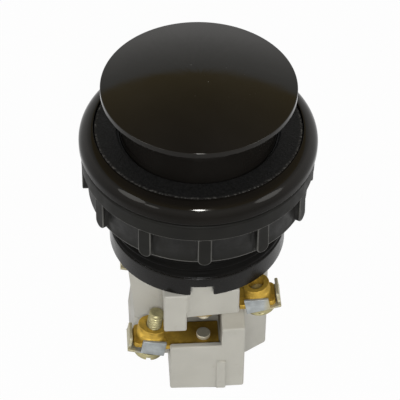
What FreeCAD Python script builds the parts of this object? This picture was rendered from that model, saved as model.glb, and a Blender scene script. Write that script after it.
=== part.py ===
import FreeCAD, Part
import math
import operator
import os
from types import SimpleNamespace

import Sketcher
from FreeCAD import Placement, Rotation, Vector

# Mushroom-head panel push button with a changeover contact block
# Millimetres; the panel plane is z = 0, the cap points to +Z and the front of the block to -Y

os.makedirs("parts", exist_ok=True)
doc = FreeCAD.newDocument("push_button")
sheet = doc.addObject("Spreadsheet::Sheet", "Sizes")

DRIVING = [
    ("cap_radius", 16.0, "mushroom rim"),
    ("cap_rim", 1.0, "height of the rim edge"),
    ("cap_crown", 1.8, "rise of the dome above the rim"),
    ("cap_lift", 11.9, "rim underside above the panel plane"),
    ("cap_ceiling", 2.5, "wall between rim top and cavity"),
    ("cap_round", 0.15, "rounding of the rim edge"),
    ("cap_flare", 1.4, "height of the flare from rim to neck"),
    ("neck_radius", 13.0, "outside of the neck"),
    ("neck_wall", 2.0, "wall of the neck"),
    ("neck_depth", 2.5, "neck end below the panel plane"),
    ("boss_radius", 4.4, "boss that takes the stem"),
    ("boss_length", 9.0, "boss below the cavity roof"),
    ("spigot_radius", 3.0, "stem end inside the boss"),
    ("spigot_length", 6.0, "depth of the stem end"),
    ("press_fit", 0.02, "radial play of pieces that hold by pressing"),
    ("push_travel", 5.8, "full stroke of the cap"),
    ("stop_play", 0.3, "space left at full stroke"),
    ("stem_radius", 4.0, "sliding stem"),
    ("stem_tail", 1.6, "stem below the web"),
    ("guide_fit", 0.08, "radial play of the stem in the web"),
    ("clip_radius", 5.0, "outside of the stem clip"),
    ("clip_thickness", 0.8, "stem clip"),
    ("clip_groove", 0.8, "depth of the clip groove"),
    ("clip_mouth", 5.0, "opening of the clip"),
    ("clip_play", 0.1, "axial play of the clip"),
    ("bezel_wall", 2.45, "bezel around the face ring"),
    ("bezel_side", 1.1, "straight side of the bezel"),
    ("bezel_round", 2.7, "large rounding of the bezel"),
    ("bezel_chamfer", 0.3, "lower edge of the bezel"),
    ("bezel_ledge", 1.5, "ledge under the flange"),
    ("gasket_inset", 1.15, "gasket edge inside the bezel edge"),
    ("gasket_thickness", 0.5, "gasket between bezel and nut"),
    ("flange_radius", 17.2, "face ring of the sleeve"),
    ("flange_thickness", 2.0, "face ring of the sleeve"),
    ("flange_fit", 0.1, "radial play of bezel and gasket"),
    ("seal_radius", 15.4, "outside of the wiper seal"),
    ("seal_thickness", 0.8, "wiper seal"),
    ("seal_cover", 0.6, "face ring above the seal"),
    ("thread_radius", 15.0, "crest of the sleeve thread"),
    ("thread_length", 16.3, "thread end below the panel plane"),
    ("thread_fit", 0.08, "radial play of the nut"),
    ("relief_width", 0.5, "groove under the thread"),
    ("relief_depth", 0.4, "groove under the thread"),
    ("sleeve_length", 20.8, "sleeve below the panel plane"),
    ("neck_fit", 0.4, "radial play of the neck"),
    ("lower_bore", 12.4, "sleeve bore around the spring"),
    ("web_depth", 16.4, "spring seat below the panel plane"),
    ("web_thickness", 2.2, "web that guides the stem"),
    ("slot_width", 3.8, "slots in the collar"),
    ("slot_height", 2.0, "slots in the collar"),
    ("pillar_radius", 2.8, "screw pillars on the web"),
    ("pillar_rise", 2.4, "screw pillars on the web"),
    ("nut_inset", 0.35, "nut band inside the bezel edge"),
    ("nut_height", 9.3, "ring nut"),
    ("nut_band", 3.2, "plain band of the nut"),
    ("nut_recess", 1.0, "depth between the ribs"),
    ("nut_chamfer", 0.3, "edges of the nut"),
    ("rib_count", 12, "ribs of the nut"),
    ("rib_width", 2.3, "ribs of the nut"),
    ("rib_stop", 0.4, "rib end above the nut end"),
    ("head_coil", 5.3, "mean radius of the head spring"),
    ("head_wire", 1.0, "wire of the head spring"),
    ("head_turns", 5, "turns of the head spring"),
    ("wide_half", 12.0, "half width of the block"),
    ("wide_flat", 5.1, "half length of the block side"),
    ("waist_half", 7.3, "half width where the block turns in"),
    ("waist_flat", 8.0, "half length where the block turns in"),
    ("arm_half", 6.4, "half width of the upper front"),
    ("arm_reach", 15.0, "upper front from the axis"),
    ("arm_wall", 1.1, "upper front wall"),
    ("arm_lip", 1.35, "front wall below the upper strips"),
    ("arm_fall", 0.85, "fall of the front wall towards the leg"),
    ("arm_bevel", 1.0, "step between leg and arm"),
    ("leg_depth", 29.5, "leg end below the panel plane"),
    ("leg_edge", 2.5, "right edge of the leg left of the axis"),
    ("leg_side", 0.65, "side wall of the leg"),
    ("foot_reach", 10.3, "foot of the leg from the axis"),
    ("side_taper", 0.9, "left side drawn in at its lower end"),
    ("tab_fit", 0.1, "play of the tabs in the slots"),
    ("ring_fit", 0.2, "radial play of the centring ring"),
    ("ring_rise", 1.8, "centring ring inside the sleeve"),
    ("base_depth", 43.0, "block end below the panel plane"),
    ("base_left", 5.4, "lower front left of the axis"),
    ("base_right", 7.4, "lower front right of the axis"),
    ("base_reach", 16.1, "lower front from the axis"),
    ("base_setback", 0.15, "column front behind the sill front"),
    ("base_wall", 1.2, "lower front wall"),
    ("base_floor", 1.2, "floor under the carrier"),
    ("sill_depth", 32.4, "sill of the window"),
    ("column_edge", 3.4, "left edge of the column"),
    ("column_depth", 28.45, "column front below the panel plane"),
    ("column_rise", 1.6, "slope of the column top"),
    ("base_bulge", 1.0, "right side of the lower half outside the upper half"),
    ("base_shoulder", 29.2, "top of the wider right side"),
    ("front_rib", 1.7, "width of the front rib"),
    ("front_rib_proud", 0.4, "front rib in front of the sill"),
    ("front_rib_height", 7.0, "front rib above the block end"),
    ("upper_level", 25.1, "top of the upper strips"),
    ("lower_level", 34.6, "top of the lower strips"),
    ("strip_thickness", 1.0, "brass strips"),
    ("strip_half", 2.3, "half width of the strips"),
    ("strip_offset", 11.2, "strip centre line from the axis"),
    ("strip_end", 3.2, "strip end past the axis"),
    ("strip_waist", 1.5, "half width of the upper strips inside the block"),
    ("strip_wide", 3.1, "half width of the lower strips inside the block"),
    ("lower_reach", 6.45, "bend of the lower strips"),
    ("upper_reach", 7.85, "bend of the upper strips"),
    ("terminal_length", 4.8, "bent tab of the strips"),
    ("terminal_hole", 2.0, "screw axis from the bend of the tab"),
    ("terminal_tilt", 10.0, "slope of the bent tab"),
    ("terminal_corner", 0.8, "corners of the bent tab"),
    ("collar_radius", 2.05, "drawn collar on the tab"),
    ("collar_height", 1.3, "drawn collar on the tab"),
    ("clamp_inner", 2.4, "clamp plate from its screw towards the block"),
    ("clamp_outer", 4.2, "clamp plate from its screw outwards"),
    ("clamp_lip", 1.7, "side lips from the screw outwards"),
    ("clamp_end", 2.6, "half width of the upturned end"),
    ("clamp_rise", 2.25, "lips above the clamp plate"),
    ("clamp_wall", 0.55, "wall of the clamp plate"),
    ("screw_radius", 1.3, "terminal screws"),
    ("block_screw", 1.5, "block screws"),
    ("screw_play", 0.1, "screw in a plain hole"),
    ("screw_head", 2.6, "all screw heads"),
    ("screw_head_height", 1.5, "all screw heads"),
    ("screw_slot", 0.8, "driver slot"),
    ("screw_chamfer", 0.3, "screw tips"),
    ("lower_tip", 5.5, "lower terminal screws above their collars"),
    ("upper_tip", 0.1, "upper terminal screws above their collars"),
    ("lower_slack", 0.9, "front left terminal let down"),
    ("loose_screw", 3.6, "back left terminal let down"),
    ("block_screw_offset", 9.0, "block screws from the axis"),
    ("block_screw_grip", 2.0, "screw end inside the pillar top"),
    ("tip_radius", 1.2, "silver tips"),
    ("tip_shift", 0.55, "tips right of the axis"),
    ("tip_height", 0.8, "tips on the strips"),
    ("tip_offset", 11.4, "tips from the axis"),
    ("closed_gap", 0.02, "closed contacts at rest"),
    ("bridge_tip", 0.7, "tips on the bridge"),
    ("bridge_thickness", 0.9, "moving bridge"),
    ("bridge_half", 2.3, "half width of the bridge"),
    ("bridge_reach", 12.7, "half length of the bridge"),
    ("bridge_corner", 1.0, "corners of the bridge"),
    ("carrier_half", 5.0, "half width of the carrier"),
    ("carrier_fit", 0.2, "play of the carrier and the bridge"),
    ("contact_length", 5.0, "contact spring at rest"),
    ("contact_coil", 1.5, "mean radius of the contact spring"),
    ("contact_wire", 0.5, "wire of the contact spring"),
    ("contact_turns", 4, "turns of the contact spring"),
    ("carrier_pocket", 3.8, "spring pocket in the carrier"),
    ("carrier_pocket_depth", 5.3, "spring pocket in the carrier"),
    ("carrier_coil", 3.1, "mean radius of the carrier spring"),
    ("carrier_wire", 0.7, "wire of the carrier spring"),
    ("carrier_turns", 5, "turns of the carrier spring"),
]

SIGNS = {"+": operator.add, "-": operator.sub, "*": operator.mul, "/": operator.truediv}
NEAR = 0.002


class Size:
    """A number together with the sheet expression that gives it."""

    def __init__(self, value, text):
        self.value = float(value)
        self.text = text

    def __add__(self, other):
        return join(self, "+", other)

    def __radd__(self, other):
        return join(other, "+", self)

    def __sub__(self, other):
        return join(self, "-", other)

    def __rsub__(self, other):
        return join(other, "-", self)

    def __mul__(self, other):
        return join(self, "*", other)

    def __rmul__(self, other):
        return join(other, "*", self)

    def __truediv__(self, other):
        return join(self, "/", other)

    def __neg__(self):
        return join(0, "-", self)


def as_size(item):
    if isinstance(item, Size):
        return item
    return Size(item, str(float(item)))


def join(left, sign, right):
    left = as_size(left)
    right = as_size(right)
    return Size(SIGNS[sign](left.value, right.value), f"({left.text} {sign} {right.text})")


def sine(angle):
    return Size(math.sin(math.radians(angle.value)), f"sin({angle.text})")


def cosine(angle):
    return Size(math.cos(math.radians(angle.value)), f"cos({angle.text})")


def root(size):
    return Size(math.sqrt(size.value), f"sqrt({size.text})")


def bind(item, path, size):
    """Tie one property of a document object to the sheet."""
    item.setExpression(path, as_size(size).text)


def new_body(label):
    body = doc.addObject("PartDesign::Body", label)
    body.Label = label
    return body


def origin_of(body, role):
    return next(item for item in body.Origin.OriginFeatures if item.Role == role)


def sketch_on(body, role, offset=0):
    """Empty sketch on one plane of the body's own origin, moved along the plane normal."""
    sketch = body.newObject("Sketcher::SketchObject", "Sketch")
    sketch.AttachmentSupport = [(origin_of(body, role), "")]
    sketch.MapMode = "FlatFace"
    sketch.AttachmentOffset = Placement(Vector(0, 0, as_size(offset).value), Rotation())
    bind(sketch, "AttachmentOffset.Base.z", offset)
    return sketch


def fix_point(sketch, geometry, end, point):
    """Hold one point of the sketch at a pair of sizes."""
    for kind, size in zip(("DistanceX", "DistanceY"), point):
        size = as_size(size)
        rule = Sketcher.Constraint(kind, -1, 1, geometry, end, size.value)
        index = sketch.addConstraint(rule)
        sketch.setExpression(f"Constraints[{index}]", size.text)


def arc_between(start, end, radius):
    """Arc that turns left from start to end; the shorter way round."""
    half = (end - start) * 0.5
    side = Vector(-half.y, half.x, 0).normalize()
    centre = start + half + side * math.sqrt(radius ** 2 - half.Length ** 2)
    first = math.atan2(start.y - centre.y, start.x - centre.x)
    last = math.atan2(end.y - centre.y, end.x - centre.x)
    return Part.ArcOfCircle(Part.Circle(centre, Vector(0, 0, 1), radius), first, last)


def outline(sketch, points, arcs=None):
    """Closed outline, counter-clockwise; arcs maps the index of a start point to a radius."""
    arcs = arcs or {}
    places = [Vector(as_size(x).value, as_size(y).value, 0) for x, y in points]
    base = sketch.GeometryCount
    for index, start in enumerate(places):
        end = places[(index + 1) % len(places)]
        if index in arcs:
            sketch.addGeometry(arc_between(start, end, arcs[index].value))
        else:
            sketch.addGeometry(Part.LineSegment(start, end))
    for index, point in enumerate(points):
        following = base + (index + 1) % len(points)
        sketch.addConstraint(Sketcher.Constraint("Coincident", base + index, 2, following, 1))
        fix_point(sketch, base + index, 1, point)
    for index, radius in arcs.items():
        rule = Sketcher.Constraint("Radius", base + index, radius.value)
        number = sketch.addConstraint(rule)
        sketch.setExpression(f"Constraints[{number}]", radius.text)
    return sketch


def circle(sketch, radius, centre=(0, 0)):
    place = Vector(as_size(centre[0]).value, as_size(centre[1]).value, 0)
    index = sketch.addGeometry(Part.Circle(place, Vector(0, 0, 1), radius.value))
    fix_point(sketch, index, 3, centre)
    number = sketch.addConstraint(Sketcher.Constraint("Radius", index, radius.value))
    sketch.setExpression(f"Constraints[{number}]", radius.text)
    return sketch


def rectangle(sketch, low, high):
    return outline(sketch, [low, (high[0], low[1]), high, (low[0], high[1])])


def finish_feature(body, feature, adds):
    """Recompute and make sure that the feature added or removed material."""
    before = feature.BaseFeature.Shape.Volume if feature.BaseFeature else 0.0
    body.Tip = feature
    doc.recompute()
    change = feature.Shape.Volume - before
    if change * (1 if adds else -1) < NEAR:
        raise RuntimeError(f"{body.Label}: {feature.Name} changes the volume by {change}")
    return feature


def pad(body, sketch, length, both_sides=False, turned=False):
    feature = body.newObject("PartDesign::Pad", "Pad")
    feature.Profile = sketch
    feature.SideType = "Symmetric" if both_sides else "One side"
    feature.Reversed = turned
    bind(feature, "Length", length)
    sketch.Visibility = False
    return finish_feature(body, feature, True)


def pocket(body, sketch, length, both_sides=False, turned=False):
    feature = body.newObject("PartDesign::Pocket", "Pocket")
    feature.Profile = sketch
    feature.SideType = "Symmetric" if both_sides else "One side"
    feature.Reversed = turned
    bind(feature, "Length", length)
    sketch.Visibility = False
    return finish_feature(body, feature, False)


def revolve(body, points, arcs=None):
    """Solid of revolution about Z from points given as radius and height."""
    sketch = outline(sketch_on(body, "XZ_Plane"), points, arcs)
    feature = body.newObject("PartDesign::Revolution", "Revolution")
    feature.Profile = sketch
    feature.ReferenceAxis = (sketch, ["V_Axis"])
    feature.Angle = 360
    sketch.Visibility = False
    return finish_feature(body, feature, True)


def mirror(body, features):
    """Repeat features of the front at the back of the block."""
    feature = body.newObject("PartDesign::Mirrored", "Mirrored")
    feature.Originals = features
    feature.MirrorPlane = (origin_of(body, "XZ_Plane"), [""])
    body.Tip = feature
    doc.recompute()
    return feature


def round_edges(body, radius, chosen):
    """Round every edge of the body that the test picks."""
    names = [f"Edge{number}" for number, edge in enumerate(body.Tip.Shape.Edges, 1) if chosen(edge)]
    if not names:
        raise RuntimeError(f"{body.Label}: no edge to round")
    base = body.Tip
    feature = body.newObject("PartDesign::Fillet", "Fillet")
    feature.Base = (base, names)
    bind(feature, "Radius", radius)
    body.Tip = feature
    doc.recompute()
    return feature


def ring_edge(radius, *heights):
    """Test for circles about Z of one radius at the given heights."""
    levels = [as_size(height).value for height in heights]

    def chosen(edge):
        if edge.Degenerated or not isinstance(edge.Curve, Part.Circle):
            return False
        curve = edge.Curve
        if abs(curve.Radius - radius.value) > NEAR:
            return False
        return any(abs(curve.Center.z - level) < NEAR for level in levels)

    return chosen


def place(item, position, axis=None, angle=0):
    """Put a piece at a position of sizes, turned about an axis."""
    turn = Rotation(axis, as_size(angle).value) if axis else Rotation()
    item.Placement = Placement(Vector(*[as_size(size).value for size in position]), turn)
    for name, size in zip("xyz", position):
        bind(item, f"Placement.Base.{name}", size)
    if axis:
        bind(item, "Placement.Rotation.Angle", angle)
    return item


def spring(label, coil, wire, turns, bottom, length):
    """Helical spring that stands on a seat."""
    path = doc.addObject("Part::Helix", f"{label}_path")
    bind(path, "Radius", coil)
    bind(path, "Height", length - wire)
    bind(path, "Pitch", (length - wire) / turns)
    path.SegmentLength = 0
    place(path, (0, 0, bottom + wire / 2))
    section = doc.addObject("Part::RegularPolygon", f"{label}_wire")
    section.Polygon = 6
    bind(section, "Circumradius", wire / 2)
    place(section, (coil, 0, bottom + wire / 2), Vector(1, 0, 0), 90)
    doc.recompute()
    solid = doc.addObject("Part::Sweep", label)
    solid.Sections = [section]
    solid.Spine = (path, ["Edge1"])
    solid.Solid = True
    solid.Frenet = True
    solid.Label = label
    return solid


def group(label, items):
    """One node made of several equal pieces."""
    compound = doc.addObject("Part::Compound", label)
    compound.Links = items
    compound.Label = label
    return compound


for row, (alias, number, note) in enumerate(DRIVING, 1):
    sheet.set(f"A{row}", alias)
    sheet.set(f"B{row}", str(number))
    sheet.set(f"C{row}", note)
    sheet.setAlias(f"B{row}", alias)
doc.recompute()
d = SimpleNamespace(**{alias: Size(number, f"Sizes.{alias}") for alias, number, note in DRIVING})

# Levels that several pieces share
rim_top = d.cap_lift + d.cap_rim
cavity_roof = rim_top - d.cap_ceiling
boss_end = cavity_roof - d.boss_length
ledge_top = d.gasket_thickness + d.bezel_ledge
face_top = ledge_top + d.flange_thickness
sleeve_bore = d.neck_radius + d.neck_fit
shelf = -d.neck_depth - d.push_travel - d.stop_play
web_top = -d.web_depth
web_end = web_top - d.web_thickness
stem_end = web_end - d.stem_tail
block_top = -d.sleeve_length
upper_top = -d.upper_level
upper_under = upper_top - d.strip_thickness
lower_top = -d.lower_level
shelf_lower = lower_top - d.strip_thickness
block_end = -d.base_depth
bridge_top = upper_under - d.tip_height - d.closed_gap - d.bridge_tip
bridge_under = bridge_top - d.bridge_thickness
well_floor = block_end + d.base_floor
carrier_end = well_floor + d.push_travel + d.stop_play
carrier_roof = carrier_end + d.carrier_pocket_depth
chamber = d.carrier_half + d.carrier_fit
bezel_radius = d.flange_radius + d.flange_fit + d.bezel_wall
nut_radius = bezel_radius - d.nut_inset
arm_face = d.arm_reach - d.arm_bevel
arm_inside = arm_face - d.arm_wall
AXIS = Vector(0, 1, 0)


def mushroom_cap():
    body = new_body("mushroom_cap")
    dome = (d.cap_radius * d.cap_radius + d.cap_crown * d.cap_crown) / (2 * d.cap_crown)
    neck_inside = d.neck_radius - d.neck_wall
    bore = d.spigot_radius + d.press_fit
    points = [
        (d.neck_radius, -d.neck_depth),
        (d.neck_radius, d.cap_lift - d.cap_flare),
        (d.cap_radius, d.cap_lift),
        (d.cap_radius, rim_top),
        (0, rim_top + d.cap_crown),
        (0, boss_end + d.spigot_length),
        (bore, boss_end + d.spigot_length),
        (bore, boss_end),
        (d.boss_radius, boss_end),
        (d.boss_radius, cavity_roof),
        (neck_inside, cavity_roof),
        (neck_inside, -d.neck_depth),
    ]
    revolve(body, points, {3: dome})
    round_edges(body, d.cap_round, ring_edge(d.cap_radius, d.cap_lift, rim_top))
    round_edges(body, d.cap_flare, ring_edge(d.neck_radius, d.cap_lift - d.cap_flare))
    return body


def push_stem():
    body = new_body("push_stem")
    groove = d.stem_radius - d.clip_groove
    groove_end = web_end - d.clip_thickness - d.clip_play
    points = [
        (0, stem_end),
        (d.stem_radius, stem_end),
        (d.stem_radius, groove_end),
        (groove, groove_end),
        (groove, web_end),
        (d.stem_radius, web_end),
        (d.stem_radius, boss_end),
        (d.spigot_radius, boss_end),
        (d.spigot_radius, boss_end + d.spigot_length),
        (0, boss_end + d.spigot_length),
    ]
    revolve(body, points)
    return body


def stem_clip():
    body = new_body("stem_clip")
    inside = d.stem_radius - d.clip_groove + d.press_fit
    top = web_end - d.clip_play / 2
    sketch = circle(sketch_on(body, "XY_Plane", top), d.clip_radius)
    circle(sketch, inside)
    pad(body, sketch, d.clip_thickness, turned=True)
    low = (-d.clip_mouth / 2, -d.clip_radius - 1)
    mouth = rectangle(sketch_on(body, "XY_Plane", top), low, (d.clip_mouth / 2, 0))
    pocket(body, mouth, d.clip_thickness)
    return body


def bezel_ring():
    body = new_body("bezel_ring")
    bore = d.flange_radius + d.flange_fit
    ledge_bore = d.thread_radius + d.flange_fit
    side_top = d.gasket_thickness + d.bezel_side
    inset = d.bezel_round - d.bezel_wall
    crest = side_top + root(d.bezel_round * d.bezel_round - inset * inset)
    points = [
        (ledge_bore, d.gasket_thickness),
        (bezel_radius - d.bezel_chamfer, d.gasket_thickness),
        (bezel_radius, d.gasket_thickness + d.bezel_chamfer),
        (bezel_radius, side_top),
        (bore, crest),
        (bore, ledge_top),
        (ledge_bore, ledge_top),
    ]
    revolve(body, points, {3: d.bezel_round})
    return body


def panel_gasket():
    body = new_body("panel_gasket")
    inside = d.thread_radius + d.flange_fit
    sketch = circle(sketch_on(body, "XY_Plane"), bezel_radius - d.gasket_inset)
    circle(sketch, inside)
    pad(body, sketch, d.gasket_thickness)
    return body


def body_sleeve():
    body = new_body("body_sleeve")
    seal_top = face_top - d.seal_cover
    seal_bed = seal_top - d.seal_thickness - d.press_fit
    seal_bore = d.seal_radius + d.press_fit
    root_radius = d.thread_radius - d.relief_depth
    relief_top = -d.thread_length
    relief_end = relief_top - d.relief_width
    guide = d.stem_radius + d.guide_fit
    points = [
        (d.lower_bore, web_end),
        (d.lower_bore, block_top),
        (d.thread_radius, block_top),
        (d.thread_radius, relief_end),
        (root_radius, relief_end),
        (root_radius, relief_top),
        (d.thread_radius, relief_top),
        (d.thread_radius, ledge_top),
        (d.flange_radius, ledge_top),
        (d.flange_radius, face_top),
        (sleeve_bore, face_top),
        (sleeve_bore, seal_top),
        (seal_bore, seal_top),
        (seal_bore, seal_bed),
        (sleeve_bore, seal_bed),
        (sleeve_bore, shelf),
        (d.lower_bore, shelf),
        (d.lower_bore, web_top),
        (guide, web_top),
        (guide, web_end),
    ]
    revolve(body, points)
    pillars = sketch_on(body, "XY_Plane", web_top)
    circle(pillars, d.pillar_radius, (-d.block_screw_offset, 0))
    circle(pillars, d.pillar_radius, (d.block_screw_offset, 0))
    pad(body, pillars, d.pillar_rise)
    holes = sketch_on(body, "XY_Plane", web_end)
    circle(holes, d.block_screw + d.press_fit, (-d.block_screw_offset, 0))
    circle(holes, d.block_screw + d.press_fit, (d.block_screw_offset, 0))
    pocket(body, holes, d.web_thickness + d.pillar_rise / 2, turned=True)
    low = (-d.slot_width / 2, -d.thread_radius - 1)
    slots = rectangle(sketch_on(body, "XY_Plane", block_top), low, (-low[0], -low[1]))
    pocket(body, slots, d.slot_height, turned=True)
    return body


def wiper_seal():
    body = new_body("wiper_seal")
    sketch = circle(sketch_on(body, "XY_Plane", face_top - d.seal_cover - d.press_fit), d.seal_radius)
    circle(sketch, d.neck_radius + d.guide_fit)
    pad(body, sketch, d.seal_thickness, turned=True)
    return body


def ring_nut():
    body = new_body("ring_nut")
    bore = d.thread_radius + d.thread_fit
    waist = nut_radius - d.nut_recess
    nut_end = -d.nut_height
    points = [
        (bore, nut_end),
        (waist - d.nut_chamfer, nut_end),
        (waist, nut_end + d.nut_chamfer),
        (waist, -d.nut_band),
        (nut_radius, -d.nut_band),
        (nut_radius, -d.nut_chamfer),
        (nut_radius - d.nut_chamfer, 0),
        (bore, 0),
    ]
    revolve(body, points)
    half = d.rib_width / 2
    rib_end = nut_end + d.rib_stop
    face = root(nut_radius * nut_radius - half * half)
    points = [
        (-half, rib_end + half),
        (0, rib_end),
        (half, rib_end + half),
        (half, -d.nut_band),
        (-half, -d.nut_band),
    ]
    sketch = outline(sketch_on(body, "XZ_Plane", face), points, {0: half, 1: half})
    rib = pad(body, sketch, d.nut_recess + half / 2, turned=True)
    ribs = body.newObject("PartDesign::PolarPattern", "Ribs")
    ribs.Originals = [rib]
    ribs.Axis = (origin_of(body, "Z_Axis"), [""])
    ribs.Angle = 360
    bind(ribs, "Occurrences", d.rib_count)
    body.Tip = ribs
    doc.recompute()
    return body


def upper_housing():
    body = new_body("upper_housing")
    points = [
        (-d.arm_half, -d.arm_reach),
        (d.arm_half, -d.arm_reach),
        (d.arm_half, -d.waist_flat),
        (d.waist_half, -d.waist_flat),
        (d.wide_half, -d.wide_flat),
        (d.wide_half, d.wide_flat),
        (d.waist_half, d.waist_flat),
        (d.arm_half, d.waist_flat),
        (d.arm_half, d.arm_reach),
        (-d.arm_half, d.arm_reach),
        (-d.arm_half, d.waist_flat),
        (-d.waist_half, d.waist_flat),
        (-d.wide_half, d.wide_flat),
        (-d.wide_half, -d.wide_flat),
        (-d.waist_half, -d.waist_flat),
        (-d.arm_half, -d.waist_flat),
    ]
    plate = outline(sketch_on(body, "XY_Plane", block_top), points)
    pad(body, plate, block_top - upper_top, turned=True)
    # Left side down to the shelf of the lower half
    points = [
        (-chamber, -d.waist_flat),
        (-chamber, d.waist_flat),
        (-d.waist_half, d.waist_flat),
        (-d.wide_half, d.wide_flat),
        (-d.wide_half, -d.wide_flat),
        (-d.waist_half, -d.waist_flat),
    ]
    side = outline(sketch_on(body, "XY_Plane", upper_top), points)
    pad(body, side, upper_top - shelf_lower, turned=True)
    points = [
        (-d.wide_half - 1, shelf_lower),
        (d.side_taper - d.wide_half, shelf_lower),
        (-d.wide_half, upper_top),
        (-d.wide_half - 1, upper_top),
    ]
    taper = outline(sketch_on(body, "XZ_Plane"), points)
    pocket(body, taper, d.waist_flat * 2, both_sides=True)
    # Leg with its side wall, then the foot that holds the lower strip
    points = [
        (-d.arm_half, -d.arm_reach),
        (-d.leg_edge, -d.arm_reach),
        (-d.leg_edge, -arm_inside),
        (-chamber, -arm_inside),
        (-chamber, -d.waist_flat),
        (-chamber - d.leg_side, -d.waist_flat),
        (-chamber - d.leg_side, -arm_inside),
        (-d.arm_half, -arm_inside),
    ]
    leg = outline(sketch_on(body, "XY_Plane", upper_top), points)
    leg_pad = pad(body, leg, d.leg_depth - d.upper_level, turned=True)
    foot = sketch_on(body, "XY_Plane", -d.leg_depth)
    rectangle(foot, (-chamber - d.leg_side, -d.foot_reach), (-chamber, -d.waist_flat))
    foot_pad = pad(body, foot, d.lower_level - d.leg_depth, turned=True)
    # Front wall over the window, lower towards the leg
    points = [
        (-d.leg_edge, upper_top - d.arm_lip - d.arm_fall),
        (d.arm_half, upper_top - d.arm_lip),
        (d.arm_half, upper_top),
        (-d.leg_edge, upper_top),
    ]
    lip = outline(sketch_on(body, "XZ_Plane", arm_face), points)
    lip_pad = pad(body, lip, d.arm_wall, turned=True)
    # Step between the leg face and the arm face
    points = [
        (-d.leg_edge, -d.arm_reach),
        (d.arm_half, -d.arm_reach),
        (d.arm_half, -arm_face),
        (d.arm_bevel - d.leg_edge, -arm_face),
    ]
    step = outline(sketch_on(body, "XY_Plane", block_top), points)
    step_cut = pocket(body, step, d.leg_depth - d.sleeve_length)
    # Locating tab in the slot of the sleeve
    tab = sketch_on(body, "XY_Plane", block_top)
    tab_half = d.slot_width / 2 - d.tab_fit
    rectangle(tab, (-tab_half, -arm_face), (tab_half, d.arm_wall - d.lower_bore))
    tab_pad = pad(body, tab, d.ring_rise)
    mirror(body, [leg_pad, foot_pad, lip_pad, step_cut, tab_pad])
    ring = circle(sketch_on(body, "XY_Plane", block_top), d.lower_bore - d.ring_fit)
    pad(body, ring, d.ring_rise)
    opening = sketch_on(body, "XY_Plane", block_top + d.ring_rise)
    rectangle(opening, (-chamber, -chamber), (chamber, chamber))
    pocket(body, opening, d.ring_rise + d.upper_level - d.sleeve_length)
    holes = sketch_on(body, "XY_Plane", block_top + d.ring_rise)
    circle(holes, d.block_screw + d.screw_play, (-d.block_screw_offset, 0))
    circle(holes, d.block_screw + d.screw_play, (d.block_screw_offset, 0))
    pocket(body, holes, d.ring_rise + d.base_depth - d.sleeve_length)
    return body


def lower_housing():
    body = new_body("lower_housing")
    inner = d.base_reach - d.base_wall
    column_face = d.base_reach - d.base_setback
    bulge_waist = d.waist_flat + d.base_bulge
    bulge_flat = d.wide_flat + d.base_bulge
    points = [
        (-d.base_left, -d.base_reach),
        (d.column_edge, -d.base_reach),
        (d.base_right, -column_face),
        (d.base_right, -bulge_waist),
        (d.wide_half, -bulge_flat),
        (d.wide_half, bulge_flat),
        (d.base_right, bulge_waist),
        (d.base_right, column_face),
        (d.column_edge, d.base_reach),
        (-d.base_left, d.base_reach),
        (-d.base_left, d.waist_flat),
        (-d.waist_half, d.waist_flat),
        (-d.wide_half, d.wide_flat),
        (-d.wide_half, -d.wide_flat),
        (-d.waist_half, -d.waist_flat),
        (-d.base_left, -d.waist_flat),
    ]
    block = outline(sketch_on(body, "XY_Plane", block_end), points)
    pad(body, block, d.base_depth - d.upper_level)
    # Left side is open down to the sill, its wide part down to the shelf
    reach = d.base_reach + 1
    left = -d.wide_half - 1
    opened = sketch_on(body, "XY_Plane", upper_top)
    rectangle(opened, (left, -reach), (d.column_edge, reach))
    pocket(body, opened, d.sill_depth - d.upper_level)
    shelf_cut = sketch_on(body, "XY_Plane", -d.sill_depth)
    rectangle(shelf_cut, (left, -inner), (d.column_edge, inner))
    pocket(body, shelf_cut, -d.sill_depth - shelf_lower)
    hollow = sketch_on(body, "XY_Plane", upper_top)
    rectangle(hollow, (-chamber, -chamber), (chamber, chamber))
    pocket(body, hollow, upper_top - well_floor)
    # Column: sloped top in front, flat seat of the upper strip behind it
    right = d.wide_half + 1
    slope_end = arm_inside - d.tab_fit
    points = [
        (-reach, upper_top),
        (-reach, -d.column_depth),
        (-d.base_reach, -d.column_depth),
        (-slope_end, d.column_rise - d.column_depth),
        (-slope_end, upper_top),
    ]
    slope = outline(sketch_on(body, "YZ_Plane"), points)
    slope_cut = pocket(body, slope, right * 2, both_sides=True)
    seat = sketch_on(body, "XY_Plane", upper_top)
    rectangle(seat, (d.column_edge - 1, -slope_end), (right, -d.waist_flat))
    seat_cut = pocket(body, seat, d.strip_thickness)
    # Room for the upper clamp plates above the wider right side
    points = [
        (d.base_right, -d.waist_flat),
        (d.base_right, -bulge_waist),
        (right, -bulge_waist),
        (right, -d.wide_flat),
        (d.wide_half, -d.wide_flat),
    ]
    room = outline(sketch_on(body, "XY_Plane", upper_top), points)
    room_cut = pocket(body, room, d.base_shoulder - d.upper_level)
    rib = sketch_on(body, "XY_Plane", block_end)
    rib_low = (d.column_edge - d.front_rib / 2, -d.base_reach - d.front_rib_proud)
    rectangle(rib, rib_low, (d.column_edge + d.front_rib / 2, -inner))
    rib_pad = pad(body, rib, d.front_rib_height)
    mirror(body, [slope_cut, seat_cut, room_cut, rib_pad])
    for offset in (-d.block_screw_offset, d.block_screw_offset):
        hole = circle(sketch_on(body, "XY_Plane", block_end), d.block_screw + d.screw_play, (offset, 0))
        pocket(body, hole, d.base_depth, turned=True)
        sink = circle(sketch_on(body, "XY_Plane", block_end), d.screw_head + d.carrier_fit, (offset, 0))
        pocket(body, sink, d.screw_head_height + d.stop_play, turned=True)
    return body


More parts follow.
